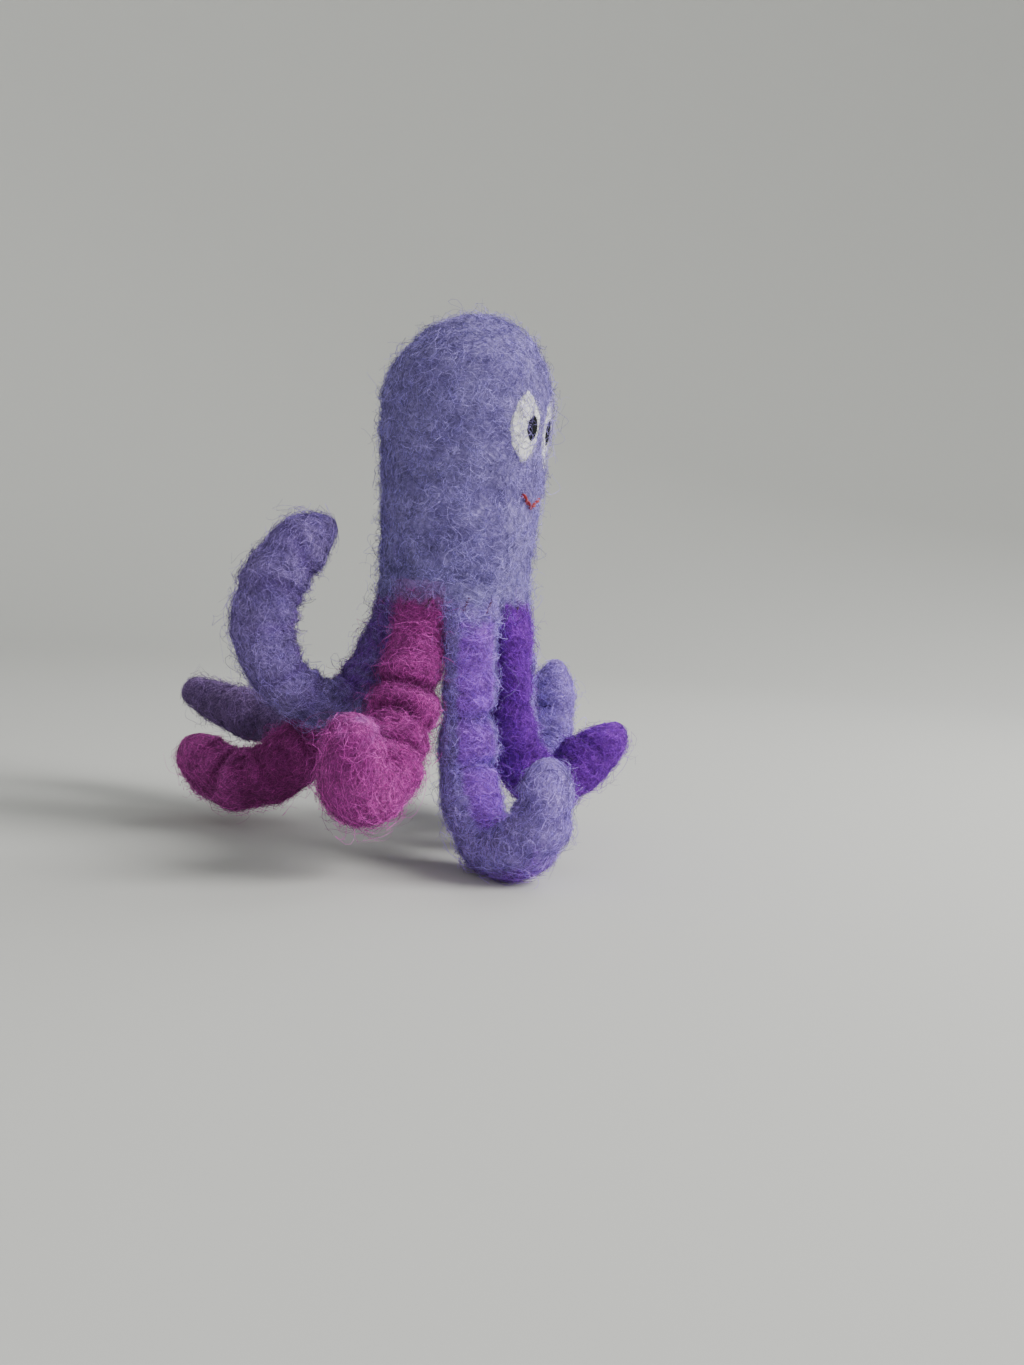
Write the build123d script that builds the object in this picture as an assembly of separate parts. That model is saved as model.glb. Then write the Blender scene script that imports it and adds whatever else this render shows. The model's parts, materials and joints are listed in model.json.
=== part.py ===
from build123d import *
import math
import os

# Felted octopus finger puppet: a hollow head that sits on a finger, with eight curled arms around its
# neck. Millimetres and degrees. The origin is the centre of the finger pocket's mouth, +Z runs up the
# head, the face looks along -Y, and the octopus's own left is +X.

# ---- finger pocket and head ----
POCKET_R = 10.5  # room for an index finger
POCKET_WALL = 44.0  # straight wall, from the mouth to the pocket's domed end
NECK_WALL = 6.7  # felt around the finger at the neck
HEAD_BULGE = 2.4  # how much wider the head is than the neck
CROWN_WALL = 16.5  # felt between the pocket's end and the top of the head
CROWN_HEIGHT = 21.0  # rounded top of the head, above its widest level
RIM_ROUND = 1.5  # rounding of the neck's lower edge

# ---- face ----
EYE_DROP = 6.0  # eye centres below the head's widest level
EYE_AZIMUTH = 17.0  # each eye from the middle of the face
EYE_WIDTH, EYE_HEIGHT = 9.2, 16.0
EYE_THICK = 1.0
PUPIL_AZIMUTH = 12.0
PUPIL_WIDTH, PUPIL_HEIGHT = 3.4, 5.8
PUPIL_THICK = 0.8
MOUTH_DROP = 17.5  # lowest point of the mouth below the eye centres
MOUTH_AZIMUTH = 13.0  # each mouth corner from the middle of the face
MOUTH_RISE = 2.6  # mouth corners above its lowest point
MOUTH_STITCHES = 4

# ---- threads ----
THREAD_R = 0.4
THREAD_BITE = 0.9  # how deep a stitch's ends go into the felt
NECK_STITCH_LOW, NECK_STITCH_HIGH = 1.8, 5.6  # heights of a neck stitch's two ends
NECK_STITCH_AZIMUTHS = (-9.0, 6.0)  # two stitches above each arm, from the arm's middle
NECK_STITCH_LEAN = 5.0  # how far round the neck a stitch leans

# ---- arms ----
ARM_COUNT = 8
ARM_REACH = 1.0  # stretches every arm along its length
ARM_GIRTH = 1.0  # thickens every arm
ROOT_DROP = 5.0  # arm roots hinge this far below the rim
ROOT_THICK = 4.2  # half thickness of an arm at its root, across the rim
ROOT_REACH = 4.9  # how far a root set askew reaches in towards the finger
FINGER_GAP = 0.3  # between the roots and a finger in the pocket
ROOT_GAP = 1.4  # between neighbouring roots
THICK_SHARE, WIDE_SHARE = 0.95, 1.06  # an arm is a little flatter than it is wide
SETTLE_SHARE = 0.35  # share of its length in which an arm leaves its root's section
BEND_SHARE = 0.82  # an arm is never thicker than this share of the bend's own radius
CURL_GAP = 0.4  # clearance all round the curl hinge's knuckle
CUP_SHARE = 0.62  # how far the upper arm's cup stops short of the hinge, in knuckle radii
KNUCKLE_SHARE = 0.95  # arm section next to a knuckle, against the knuckle itself
BALL_SEAM = 45.0  # keeps a ball's seam away from the seam of the arm that it joins
SECTION_LENGTH, SECTION_TURN = 8.0, 25.0  # longest step and sharpest turn between two sections
SAME_PLACE = 0.001  # two places along an arm closer than this are one
# An arm's radius against the share of its length: slim root, plump club, pointed tip.
ARM_PROFILE = ((0, 5.3), (0.2, 5.7), (0.4, 6.3), (0.6, 7.1), (0.75, 7.4), (0.88, 6.8), (0.96, 4.7), (1, 1.6))

# Each arm hangs in its own upright plane. root and plane are azimuths from the face, positive towards the
# octopus's left. heading is the root's lean from straight down. An arc is its length, how much it curls
# outwards and up and, where the arm twists, how far its plane swings round. The curl hinge lies between
# the upper and the lower arcs. creases are distances from the root.
ARMS = {
    "front": {
        "root": 0, "plane": 48, "heading": 2, "girth": 0.87,
        "upper": ((18, 4, 0), (13, 42, 0)), "lower": ((10, 74, 0), (18, 38, 0)),
        "creases": (14, 22, 42, 50),
    },
    "front_left": {
        "root": 45, "plane": 96, "heading": 10, "girth": 0.76,
        "upper": ((25, 15, 0), (16, 60, 0)), "lower": ((14, 75, 0), (21.5, 15, 0)),
        "creases": (16, 29, 54, 64),
    },
    "left": {
        "root": 90, "plane": 118, "heading": 20, "girth": 0.9,
        "upper": ((25, 15, 0), (20, 35, 0)), "lower": ((20, 100, 0), (15, 20, 0)),
        "creases": (18, 32, 58, 69),
    },
    "back_left": {
        "root": 135, "plane": 178, "heading": 34, "girth": 0.8,
        "upper": ((22, 12, 0), (25, 42, 0)), "lower": ((22, 14, 0), (19, 5, 0)),
        "creases": (20, 34, 60, 73),
    },
    "back": {
        "root": 180, "plane": 195, "heading": 22, "girth": 1.12,
        "upper": ((20, 15, 0), (24, 15, 0)), "lower": ((14, 50, 0), (14, 65, 0)),
        "creases": (12, 22, 32, 58),
    },
    "back_right": {
        "root": 225, "plane": 220, "heading": 22, "girth": 1.0,
        "upper": ((12, 5, 0), (12, 80, 0), (11, 36, 0)), "lower": ((9, 29, 0), (31, 80, 0)),
        "creases": (13, 25, 46, 55, 64),
    },
    "right": {
        "root": 270, "plane": 279, "heading": 18, "girth": 1.12,
        "upper": ((20, 15, 0), (19, 35, 0)), "lower": ((15, 110, 0), (9, 20, 0)),
        "creases": (11, 20, 29, 54),
    },
    "front_right": {
        "root": 315, "plane": 315, "heading": 6, "girth": 0.85,
        "upper": ((22, 0, 5), (18, 30, 15)), "lower": ((19, 105, 10), (18, 70, 5)),
        "creases": (16, 28, 50, 59, 67),
    },
}

# ---- sizes that follow ----
NECK_R = POCKET_R + NECK_WALL
HEAD_HEIGHT = POCKET_WALL + POCKET_R + CROWN_WALL
WIDEST_Z = HEAD_HEIGHT - CROWN_HEIGHT
EYE_Z = WIDEST_Z - EYE_DROP
MOUTH_Z = EYE_Z - MOUTH_DROP
ROOT_RING_R = POCKET_R + FINGER_GAP + ROOT_REACH
ROOT_WIDE = ROOT_RING_R * math.sin(math.pi / ARM_COUNT) - ROOT_GAP / 2
UP = Vector(0, 0, 1)


def outward(azimuth):
    """Horizontal direction at an azimuth from the face."""
    angle = math.radians(azimuth - 90)
    return Vector(math.cos(angle), math.sin(angle), 0)


def across(azimuth):
    """Hinge direction of an arm whose plane is at this azimuth: turning about it lifts the arm outwards."""
    return outward(azimuth).cross(UP)


# ---- head ----


def head_radius(z):
    """Outer radius of the head at a height below its widest level."""
    return NECK_R + HEAD_BULGE * math.sin(math.radians(90 * z / WIDEST_Z)) ** 2


def head_form(offset=0.0):
    """The head without its pocket, grown by an offset."""
    heights = [WIDEST_Z * step / 5 for step in range(6)]
    side = Spline(
        *[(head_radius(z) + offset, 0, z) for z in heights],
        tangents=[(0, 0, 1), (0, 0, 1)],
    )
    corners = [side @ 1, (0, 0, WIDEST_Z), (0, 0, 0), side @ 0]
    barrel = revolve(Face(Wire([*side.edges(), *Polyline(*corners).edges()])), axis=Axis.Z)
    radius, rise = head_radius(WIDEST_Z) + offset, CROWN_HEIGHT + offset
    crown = scale(Sphere(1), (radius, radius, rise)) & Pos(0, 0, rise) * Box(4 * radius, 4 * radius, 2 * rise)
    return barrel + Pos(0, 0, WIDEST_Z) * crown


def head_shell():
    """Felt head with a round-ended pocket for the finger."""
    head = head_form()
    head = fillet(head.edges().sort_by(Axis.Z)[0], RIM_ROUND)
    pocket = Pos(0, 0, POCKET_WALL / 2) * Cylinder(POCKET_R, POCKET_WALL)
    pocket += Pos(0, 0, POCKET_WALL) * Sphere(POCKET_R)
    return head - pocket


def face_plane(azimuth, z, radius):
    """Upright plane that looks along an azimuth, at a height and a distance from the head's axis."""
    return Plane(origin=outward(azimuth) * radius + UP * z, x_dir=-across(azimuth), z_dir=outward(azimuth))


def almond(width, height):
    """Outline with round sides that meet in a point above and below."""
    right = ThreePointArc((0, -height / 2), (width / 2, 0), (0, height / 2))
    left = ThreePointArc((0, height / 2), (-width / 2, 0), (0, -height / 2))
    return make_face([right, left])


def patch(outline, azimuth, z, under, over):
    """Felt patch of an outline on the head, between two offsets from its surface."""
    start = NECK_R / 2
    blank = extrude(face_plane(azimuth, z, start) * outline, 2 * NECK_R)
    return (blank & head_form(over)) - head_form(under)


def eye_white(side):
    return patch(almond(EYE_WIDTH, EYE_HEIGHT), side * EYE_AZIMUTH, EYE_Z, 0, EYE_THICK)


def pupil(side):
    outline = almond(PUPIL_WIDTH, PUPIL_HEIGHT)
    return patch(outline, side * PUPIL_AZIMUTH, EYE_Z, EYE_THICK, EYE_THICK + PUPIL_THICK)


# ---- stitches ----


def stitch(start, middle, end):
    """One visible loop of thread, bowed out of the felt between two points under its surface."""
    line = ThreePointArc(start, middle, end)
    section = Plane(origin=line @ 0, z_dir=line % 0) * Circle(THREAD_R)
    return sweep(section, path=line)


def head_stitch(start, end):
    """Stitch on the head between two (azimuth, height) places."""
    middle = ((start[0] + end[0]) / 2, (start[1] + end[1]) / 2)
    ends = [outward(a) * (head_radius(z) - THREAD_BITE) + UP * z for a, z in (start, end)]
    top = outward(middle[0]) * (head_radius(middle[1]) + THREAD_R / 2) + UP * middle[1]
    return stitch(ends[0], top, ends[1])


def mouth_stitches():
    """A shallow V of stitches, lowest in the middle."""
    places = []
    for index in range(MOUTH_STITCHES + 1):
        share = 2 * index / MOUTH_STITCHES - 1
        places.append((share * MOUTH_AZIMUTH, MOUTH_Z + MOUTH_RISE * abs(share)))
    return [head_stitch(low, high) for low, high in zip(places, places[1:])]


def neck_stitches():
    """Leaning stitches that hold each arm's root to the rim."""
    stitches = []
    for arm in ARMS.values():
        for azimuth in NECK_STITCH_AZIMUTHS:
            low = (arm["root"] + azimuth, NECK_STITCH_LOW)
            high = (arm["root"] + azimuth + NECK_STITCH_LEAN, NECK_STITCH_HIGH)
            stitches.append(head_stitch(low, high))
    return stitches


# ---- arms ----


class Station:
    """A place along an arm: distance from the root, point, directions and the bend's radius."""

    def __init__(self, distance, point, plane, heading, bend):
        angle = math.radians(heading)
        self.distance, self.point, self.bend = distance, point, bend
        self.plane, self.heading = plane, heading
        self.along = outward(plane) * math.sin(angle) - UP * math.cos(angle)
        self.inside = outward(plane) * math.cos(angle) + UP * math.sin(angle)
        self.across = across(plane)


def follow(station, length, turn, swing, bend):
    """The station at the end of a short arc that starts at another."""
    half = math.radians(turn) / 2
    chord = length * (math.sin(half) / half if half else 1.0)
    middle = Station(0, station.point, station.plane + swing / 2, station.heading + turn / 2, bend)
    point = station.point + middle.along * chord
    return Station(
        station.distance + length, point, station.plane + swing, station.heading + turn, bend
    )


def arm_length(arm):
    return ARM_REACH * sum(arc[0] for arc in arm["upper"] + arm["lower"])


def curl_distance(arm):
    """Distance of the curl hinge from the root."""
    return ARM_REACH * sum(arc[0] for arc in arm["upper"])


def station_at(arm, distance):
    """The station at any distance along an arm."""
    point = outward(arm["root"]) * ROOT_RING_R - UP * ROOT_DROP
    here = Station(0, point, arm["plane"], arm["heading"], math.inf)
    for length, turn, swing in arm["upper"] + arm["lower"]:
        length *= ARM_REACH
        bend = length / math.radians(turn) if turn else math.inf
        share = min(1.0, (distance - here.distance) / length)
        steps = max(1, math.ceil(abs(swing)))
        for _ in range(steps):
            here = follow(here, length * share / steps, turn * share / steps, swing * share / steps, bend)
        if share < 1.0 or here.distance > distance - SAME_PLACE:
            break
    return here


def profile_radius(share):
    """Radius of a plain arm at a share of its length."""
    for (low, low_r), (high, high_r) in zip(ARM_PROFILE, ARM_PROFILE[1:]):
        if share <= high:
            return low_r + (high_r - low_r) * (share - low) / (high - low)
    return ARM_PROFILE[-1][1]


def half_sizes(arm, station):
    """Half width and half thickness of an arm at a station."""
    share = min(1.0, station.distance / arm_length(arm))
    radius = ARM_GIRTH * arm["girth"] * profile_radius(share)
    settled = min(1.0, share / SETTLE_SHARE)
    settled = settled * settled * (3 - 2 * settled)
    wide = ROOT_WIDE + (WIDE_SHARE * radius - ROOT_WIDE) * settled
    thick = ROOT_THICK + (THICK_SHARE * radius - ROOT_THICK) * settled
    return wide, min(thick, BEND_SHARE * station.bend)


def section(arm, station, share=1.0):
    """Oval section of an arm."""
    wide, thick = half_sizes(arm, station)
    plane = Plane(origin=station.point, x_dir=station.across, z_dir=station.along)
    return plane * Ellipse(share * wide, share * thick)


def knuckle(arm, station, gap=0.0):
    """Oval ball, round about the hinge axis that runs across the arm."""
    wide, thick = half_sizes(arm, station)
    ball = Rot(Z=BALL_SEAM) * Sphere(1)
    plane = Plane(origin=station.point, x_dir=station.across, z_dir=station.along)
    return plane * scale(ball, (wide + gap, thick + gap, thick + gap))


def distances(arm, start, end):
    """Distances of an arm's sections from start to end, closer together where it bends."""
    places, here = [start], 0.0
    for length, turn, _ in arm["upper"] + arm["lower"]:
        length *= ARM_REACH
        steps = max(math.ceil(length / SECTION_LENGTH), math.ceil(abs(turn) / SECTION_TURN))
        places += [here + length * step / steps for step in range(1, steps + 1)]
        here += length
    margin = SECTION_LENGTH / 4
    return [start] + [place for place in places if start + margin < place < end - margin] + [end]


def arm_body(arm, start, end, knuckle_at):
    """Lofted stretch of an arm, with a knuckle at its upper end."""
    sections = []
    for distance in distances(arm, start, end):
        share = KNUCKLE_SHARE if distance == start else 1.0
        sections.append(section(arm, station_at(arm, distance), share))
    return loft(sections) + knuckle(arm, knuckle_at)


def upper_arm(arm):
    """From the root's knuckle to the cup around the curl hinge."""
    hinge = station_at(arm, curl_distance(arm))
    thick = half_sizes(arm, hinge)[1]
    end = curl_distance(arm) - CUP_SHARE * thick
    return arm_body(arm, 0.0, end, station_at(arm, 0.0)) - knuckle(arm, hinge, CURL_GAP)


def lower_arm(arm):
    """From the curl hinge's knuckle to the rounded tip."""
    start, end = curl_distance(arm), arm_length(arm)
    tip = station_at(arm, end)
    ball = Pos(tip.point) * Sphere(half_sizes(arm, tip)[0] / KNUCKLE_SHARE)
    return arm_body(arm, start, end, station_at(arm, start)) + ball


def crease_threads(arm, start, end):
    """Threads that draw the inside of the curl in at its creases, between two distances."""
    threads = []
    for crease in arm["creases"]:
        distance = crease * ARM_REACH
        if not start < distance < end:
            continue
        here = station_at(arm, distance)
        wide, thick = half_sizes(arm, here)
        side, rise = math.sin(math.radians(50)), math.cos(math.radians(50))
        top = here.point + here.inside * (thick + THREAD_R / 2)
        low = here.point + here.inside * (rise * thick - THREAD_BITE)
        reach = here.across * (side * wide)
        threads.append(stitch(low - reach, top, low + reach))
    return threads


# ---- the assembly ----


def nodes():
    """Every piece by name."""
    pieces = {
        "head_shell": head_shell(),
        "eye_white_right": eye_white(-1),
        "eye_white_left": eye_white(1),
        "pupil_right": pupil(-1),
        "pupil_left": pupil(1),
        "mouth_stitches": mouth_stitches(),
        "neck_stitches": neck_stitches(),
    }
    for name, arm in ARMS.items():
        pieces[f"arm_{name}_upper"] = upper_arm(arm)
        pieces[f"arm_{name}_lower"] = lower_arm(arm)
        pieces[f"arm_{name}_upper_thread"] = crease_threads(arm, 0.0, curl_distance(arm))
        pieces[f"arm_{name}_lower_thread"] = crease_threads(arm, curl_distance(arm), arm_length(arm))
    return pieces


def main():
    os.makedirs("parts", exist_ok=True)
    for name, piece in nodes().items():
        solids = piece if isinstance(piece, list) else [piece]
        whole = Compound(label=name, children=[solid for item in solids for solid in item.solids()])
        export_step(whole, f"parts/{name}.step")
        print(name, len(whole.solids()), round(whole.volume, 1))


if __name__ == "__main__":
    main()
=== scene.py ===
"""The looks of a felted octopus finger puppet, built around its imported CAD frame.

Sizes are millimetres until a mesh is made. The origin is the centre of the finger pocket's mouth,
+Z runs up the head, the face looks along -Y and the octopus's own left is +X.
"""

import json
import math

import bpy
import numpy as np
from mathutils import Matrix, Vector


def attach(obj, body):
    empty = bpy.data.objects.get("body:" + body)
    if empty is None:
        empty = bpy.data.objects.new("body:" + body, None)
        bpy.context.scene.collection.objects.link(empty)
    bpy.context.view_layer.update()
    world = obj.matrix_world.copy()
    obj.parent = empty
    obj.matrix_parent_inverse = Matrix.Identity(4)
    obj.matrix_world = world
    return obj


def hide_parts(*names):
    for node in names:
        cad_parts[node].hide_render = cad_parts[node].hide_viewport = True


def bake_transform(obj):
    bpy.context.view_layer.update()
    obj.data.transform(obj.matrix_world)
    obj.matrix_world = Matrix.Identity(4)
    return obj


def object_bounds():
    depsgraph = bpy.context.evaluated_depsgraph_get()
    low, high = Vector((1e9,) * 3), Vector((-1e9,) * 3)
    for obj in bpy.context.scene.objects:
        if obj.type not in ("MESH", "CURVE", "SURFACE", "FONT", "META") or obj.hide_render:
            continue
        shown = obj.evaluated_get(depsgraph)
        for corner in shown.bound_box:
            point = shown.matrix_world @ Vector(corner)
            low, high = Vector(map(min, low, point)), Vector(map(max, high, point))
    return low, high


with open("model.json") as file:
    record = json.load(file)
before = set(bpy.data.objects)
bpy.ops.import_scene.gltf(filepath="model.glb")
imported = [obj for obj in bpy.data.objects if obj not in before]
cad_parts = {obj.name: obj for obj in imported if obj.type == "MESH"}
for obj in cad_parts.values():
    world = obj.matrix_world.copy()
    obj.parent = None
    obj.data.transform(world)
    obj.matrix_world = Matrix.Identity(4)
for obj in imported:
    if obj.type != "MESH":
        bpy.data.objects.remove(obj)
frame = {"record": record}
CAD_LOW, CAD_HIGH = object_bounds()

MM = 0.001
UP = np.array([0.0, 0.0, 1.0])
SEED = 41

# ---- camera ----
CAMERA_AZIMUTH, CAMERA_HEIGHT, CAMERA_ROLL = -65.0, 4.0, 4.0
CAMERA_DISTANCE = 300.0
CAMERA_ASIDE, CAMERA_DOWN = 14.1, -14.9
CAMERA_HALF_ANGLE = 28.1  # of the picture's long side
SENSOR = 36.0

# ---- head, as in the CAD model ----
POCKET_R, POCKET_WALL = 10.5, 44.0
NECK_R, HEAD_BULGE = 16.9, 2.3
WIDEST_Z, CROWN_HEIGHT = 50.0, 19.6
CROWN_POWER = 0.53
CROWN_LEAN, LEAN_POWER = 2.4, 1.3  # the crown leans towards the face
HEAD_ROUGH, POCKET_ROUGH = 0.28, 0.12
POCKET_PLACE = 4.0  # the pocket is coloured as the outside is this far up it
RIM_ROUND = 2.0
HEAD_STEP, HEAD_SIDES = 0.7, 160

# ---- face ----
EYE_Z, EYE_AZIMUTH = 44.0, 17.0
EYE_WIDTH, EYE_HEIGHT = 9.2, 16.0
PUPIL_AZIMUTH, PUPIL_WIDTH, PUPIL_HEIGHT = 12.0, 3.4, 5.8
MOUTH_Z, MOUTH_AZIMUTH, MOUTH_RISE, MOUTH_STITCHES = 26.5, 13.0, 2.6, 4

MOUTH_THREAD = 1.25  # the mouth's thread against THREAD_R
EYE_LOFT, PUPIL_LOFT = 0.35, 0.2  # how high their felt really stands up
PUPIL_CLEAR = 1.0  # the eye's fibres stay this far from the pupil
PATCH_SIDES, PATCH_RINGS = 72, 14
PATCH_SINK = 0.5  # how deep a patch is sunk in what it lies on
EYE_HAIRS, PUPIL_HAIRS = 520, 130

# ---- stitches ----
THREAD_R = 0.4
PLY_LENGTH, PLY_OFF, PLY_R, PLY_SIDES = 0.55, 0.45, 0.58, 8
NECK_STITCH_LOW, NECK_STITCH_HIGH, NECK_STITCH_LEAN = 1.8, 5.6, 5.0
NECK_STITCH_AZIMUTHS = (-9.0, 6.0)
NECK_THREAD, CREASE_THREAD = 0.8, 0.7  # against THREAD_R
CREASE_STITCH_TURN = 58.0  # how far a crease's stitch runs to each side, degrees

# ---- arms, as in the CAD model ----
ROOT_RING_R, ROOT_DROP = 15.7, 5.0
ROOT_WIDE, ROOT_THICK = 5.3, 4.2
THICK_SHARE, WIDE_SHARE, SETTLE_SHARE = 0.95, 1.06, 0.35
ARM_PROFILE = (
    (0, 5.3), (0.2, 5.7), (0.4, 6.3), (0.6, 7.1), (0.75, 7.4), (0.88, 6.9), (0.96, 5.2), (1, 3.6),
)
POINTED_PROFILE = ARM_PROFILE[:-2] + ((0.96, 4.7), (1, 1.0))
PROFILE_BLUR = (
    (-0.06, 0.05), (-0.04, 0.12), (-0.02, 0.2), (0, 0.26), (0.02, 0.2), (0.04, 0.12), (0.06, 0.05),
)
TIP_ROUND = 0.9
PLAIN_BULK = ((0, 0.4), (0.4, 0.4), (0.62, 0.0), (1, 0.0))  # added to the half width, by share of length
THICK_BULK = 0.4  # share of the bulk that the half thickness gets
HOOK_REACH, HOOK_START, HOOK_SPAN = 5.5, 0.84, 0.16  # how far a hooked tip bends back, and where
FOLD_SHARE = 0.95
CREASE_REACH, FOLD_REACH = 1.7, 1.2
CREASE_ROUND = 0.25  # how much of a crease runs all round the arm
FAINT_CREASE = 0.15  # strength of the creases past crease_end
BEND_BLUR = 3.0
BUMP_ROUGH, WANDER_ROUGH = 0.20, 0.25
ARM_STEP, ARM_SIDES = 0.45, 56
TAIL = 14.0  # how far an arm's root runs up the head, half sunk in its wall
TAIL_TOP_R, TAIL_TOP_Z = 14.9, 9.0
TAIL_THIN, TAIL_WIDEN = 0.48, 0.22
ROOT_FADE_LOW, ROOT_FADE = 4.5, 8.0  # an arm's own colour fades out above its root
PLAIN_SPREAD = (8.0, 0.5)
SPREAD_TURN, SPREAD_FADE = 22.0, 9.0
CLOSE = 2.5  # how far a part is rounded off inside its neighbour
LIFT_BLEND, CURL_BLEND = 5.0, 4.5  # half the length of the span at each hinge, at root and curl; no felt is bent over it

# ---- fibres ----
# Points in a fibre, its radius, its shortest and longest length, then for its lift off the surface: the
# share of fibres that stand off, the share that fly away, and the highest lift of each kind.
COAT = {
    "points": 5, "radius": 0.066, "length": (2.0, 6.5),
    "stand": 0.45, "fly": 0.09, "lifts": (0.3, 1.1, 2.4),
}
STRAYS = {
    "points": 12, "radius": 0.055, "length": (6.0, 18.0),
    "stand": 1.0, "fly": 0.5, "lifts": (0.4, 1.9, 4.8),
}
PATCH_COAT = {
    "points": 5, "radius": 0.04, "length": (0.6, 1.5),
    "stand": 0.2, "fly": 0.0, "lifts": (0.05, 0.3, 0.4),
}
HEAD_COATS, HEAD_FIBRES = 3, 7000
HEAD_STRAYS, NECK_STRAYS, NECK_STRAYS_TOP = 420, 260, 16.0
FIBRES_PER_MM, STRAYS_PER_MM, MOST_FIBRES = 165, 3.5, 7400
FUZZ_TOP = -11.0  # fibres start below the tail's top
FIBRE_SIDES, FIBRE_END = 3, 0.45
ARCHED = 0.3  # share of the fibres that come back down at their end
FIBRE_CREASE_SHADE = 0.5  # fibres over a crease take half its painted shade
CURLS, WAVES, DRIFT = (0.3, 1.3), (3, 8), 1.1

# ---- stage ----
FLOOR_DROP, FLOOR_R, FLOOR_CURVE = 0.6, 700.0, 1000.0
FLOOR_RINGS, FLOOR_WALL = (100.0, 300.0, 600.0), 1600.0
BACKDROP_GLOW = 0.2
WORLD_LIGHT = 0.34

# Each arm, as the octopus sees it. root is its azimuth on the neck, plane the one it curls in, heading its
# slope at the root. upper and lower are its arcs: length, turn and sideways swing. creases and folds are
# places along it, and a fold has its depth. crease_side is where a crease is deepest. stripes are low and
# high place, middle and reach round the arm, and strength. bulk is added to its half width. spread is how
# high and how strongly its tint runs up the head. strays counts long fibres to the millimetre.
ARMS = {
    "front": {
        "root": 0, "plane": 48, "heading": 2, "girth": 0.87,
        "upper": ((18, 4, 0), (13, 42, 0)), "lower": ((10, 74, 0), (18, 38, 0)),
        "creases": (14, 22, 42, 50), "felt": "violet_felt",
        "crease_depth": 0.5, "hook": 0.45,
        "tint": (120, 44, 174),
    },
    "front_left": {
        "root": 45, "plane": 96, "heading": 10, "girth": 0.76,
        "upper": ((25, 15, 0), (16, 60, 0)), "lower": ((14, 75, 0), (21.5, 15, 0)),
        "creases": (16, 29, 54, 64), "felt": "periwinkle_felt",
        "crease_depth": 0.25, "hook": 0.1, "bulk": ((0, 0.3), (0.5, 0.5), (1, 0.5)),
        "tint": (144, 122, 198),
    },
    "left": {
        "root": 90, "plane": 118, "heading": 20, "girth": 0.9,
        "upper": ((25, 15, 0), (20, 35, 0)), "lower": ((20, 100, 0), (15, 20, 0)),
        "creases": (18, 32, 58, 69), "felt": "periwinkle_felt",
        "crease_depth": 0.6, "folds": ((45, 0.8),),
        "tint": (144, 122, 198), "strays": 5,
    },
    "back_left": {
        "root": 135, "plane": 178, "heading": 34, "girth": 0.8,
        "upper": ((22, 12, 0), (25, 42, 0)), "lower": ((22, 14, 0), (19, 5, 0)),
        "creases": (20, 34, 60, 73), "felt": "dusk_felt",
        "crease_depth": 0.35, "folds": ((48, 0.6),),
        "tint": (112, 88, 136), "strays": 4,
    },
    "back": {
        "root": 180, "plane": 195, "heading": 22, "girth": 1.12,
        "upper": ((20, 15, 0), (24, 15, 0)), "lower": ((14, 50, 0), (14, 65, 0)),
        "creases": (12, 22, 32, 58), "felt": "plum_felt",
        "crease_depth": 1.3, "folds": ((44, 0.4), (50, 0.4)), "stripes": ((44, 90, 0, 200, 0.8),),
        "tint": (134, 48, 118), "strays": 4,
    },
    "back_right": {
        "root": 225, "plane": 220, "heading": 22, "girth": 1.0,
        "upper": ((12, 5, 0), (12, 80, 0), (11, 36, 0)), "lower": ((9, 29, 0), (31, 80, 0)),
        "creases": (13, 25, 46, 55, 64), "felt": "iris_felt",
        "crease_depth": 0.7, "hook": 0.22, "folds": ((34, 1.0),),
        "stripes": ((-20, 24, 0, 110, 0.75), (24, 60, 0, 40, 0.5)),
        "tint": (116, 70, 156), "strays": 5, "spread": (11.0, 0.8),
    },
    "right": {
        "root": 270, "plane": 279, "heading": 18, "girth": 1.12,
        "upper": ((20, 15, 0), (19, 35, 0)), "lower": ((15, 110, 0), (9, 20, 0)),
        "creases": (11, 20, 29, 54), "felt": "magenta_felt",
        "crease_depth": 2.4, "crease_round": 0.6, "crease_end": 36,
        "bulk": ((0, 0.3), (0.2, 1.1), (0.5, 0.8), (0.7, -1.3), (1, -1.5)),
        "stripes": ((52, 80, 0, 200, 0.45),),
        "tint": (166, 72, 156), "strays": 8, "spread": (13.0, 1.0),
    },
    "front_right": {
        "root": 315, "plane": 315, "heading": 6, "girth": 0.85,
        "upper": ((22, 0, 5), (18, 30, 15)), "lower": ((19, 105, 10), (18, 70, 5)),
        "creases": (16, 28, 50, 59, 67), "felt": "periwinkle_felt", "look": "stripe_felt",
        "crease_depth": 1.6, "crease_side": -60, "bulk": ((0, 0.5), (0.3, 0.9), (1, 0.8)),
        "stripes": ((-10, 58, -4, 46, 1.15), (40, 66, 180, 50, 0.8)),
        "tint": (144, 122, 198),
    },
}


# ---- small helpers ----


def outward(azimuth):
    """Horizontal directions at azimuths from the face, in degrees."""
    angle = np.radians(np.asarray(azimuth, float) - 90)
    return np.stack([np.cos(angle), np.sin(angle), np.zeros_like(angle)], -1)


def unit(vectors):
    return vectors / np.linalg.norm(vectors, axis=-1, keepdims=True)


def smooth(share):
    share = np.clip(share, 0, 1)
    return share * share * (3 - 2 * share)


def colour(red, green, blue):
    """Linear colour from the 0 to 255 values of a colour picker."""
    values = [c / 255 for c in (red, green, blue)]
    return [c / 12.92 if c <= 0.04045 else ((c + 0.055) / 1.055) ** 2.4 for c in values] + [1.0]


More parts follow.
